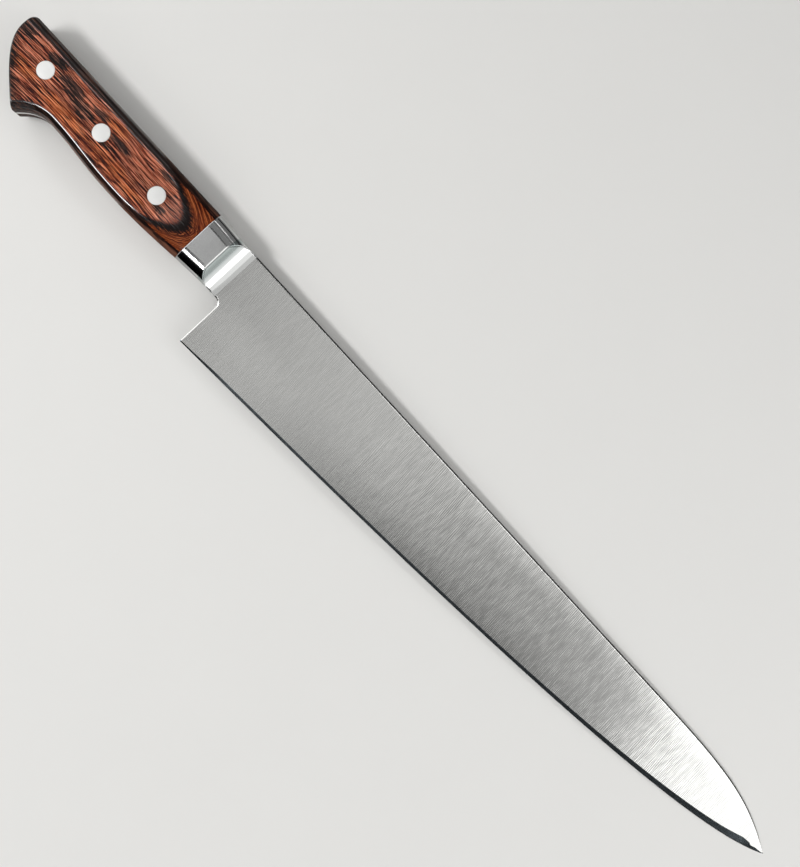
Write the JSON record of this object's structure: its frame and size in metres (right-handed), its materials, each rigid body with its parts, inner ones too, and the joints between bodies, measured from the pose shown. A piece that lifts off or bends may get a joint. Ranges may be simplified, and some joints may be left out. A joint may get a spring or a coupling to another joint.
{
  "type": "slicing knife",
  "caption": "Long narrow slicing knife with a pointed blade, a full tang, hollow-ground bolsters and riveted wood laminate scales on a handle with a beaked end.",
  "frame": {"origin": "under the middle of the knife's outline, level with the outer face of the back scale, on which the handle lies", "axes": "+X from the butt of the handle to the tip of the blade, +Y from the cutting edge to the spine, +Z out of the right-hand face of the knife, which the picture shows"},
  "size_m": [0.3858, 0.0404, 0.0176],
  "materials": {
    "blade_steel": "satin, with fine scratches from spine to edge",
    "bolster_steel": "polished, with fine wiping scratches",
    "pakkawood": "red-brown resin-filled wood laminate, polished, with dark and light grain along the handle",
    "rivet_metal": "fine satin, ground flush with the scales"
  },
  "bodies": {
    "root": {"blade_and_tang": "blade_steel", "bolster_front": "bolster_steel", "bolster_back": "bolster_steel", "scale_front": "pakkawood", "scale_back": "pakkawood", "rivet_1_post": "rivet_metal", "rivet_1_sleeve": "rivet_metal", "rivet_2_post": "rivet_metal", "rivet_2_sleeve": "rivet_metal", "rivet_3_post": "rivet_metal", "rivet_3_sleeve": "rivet_metal"}
  },
  "joints": []
}
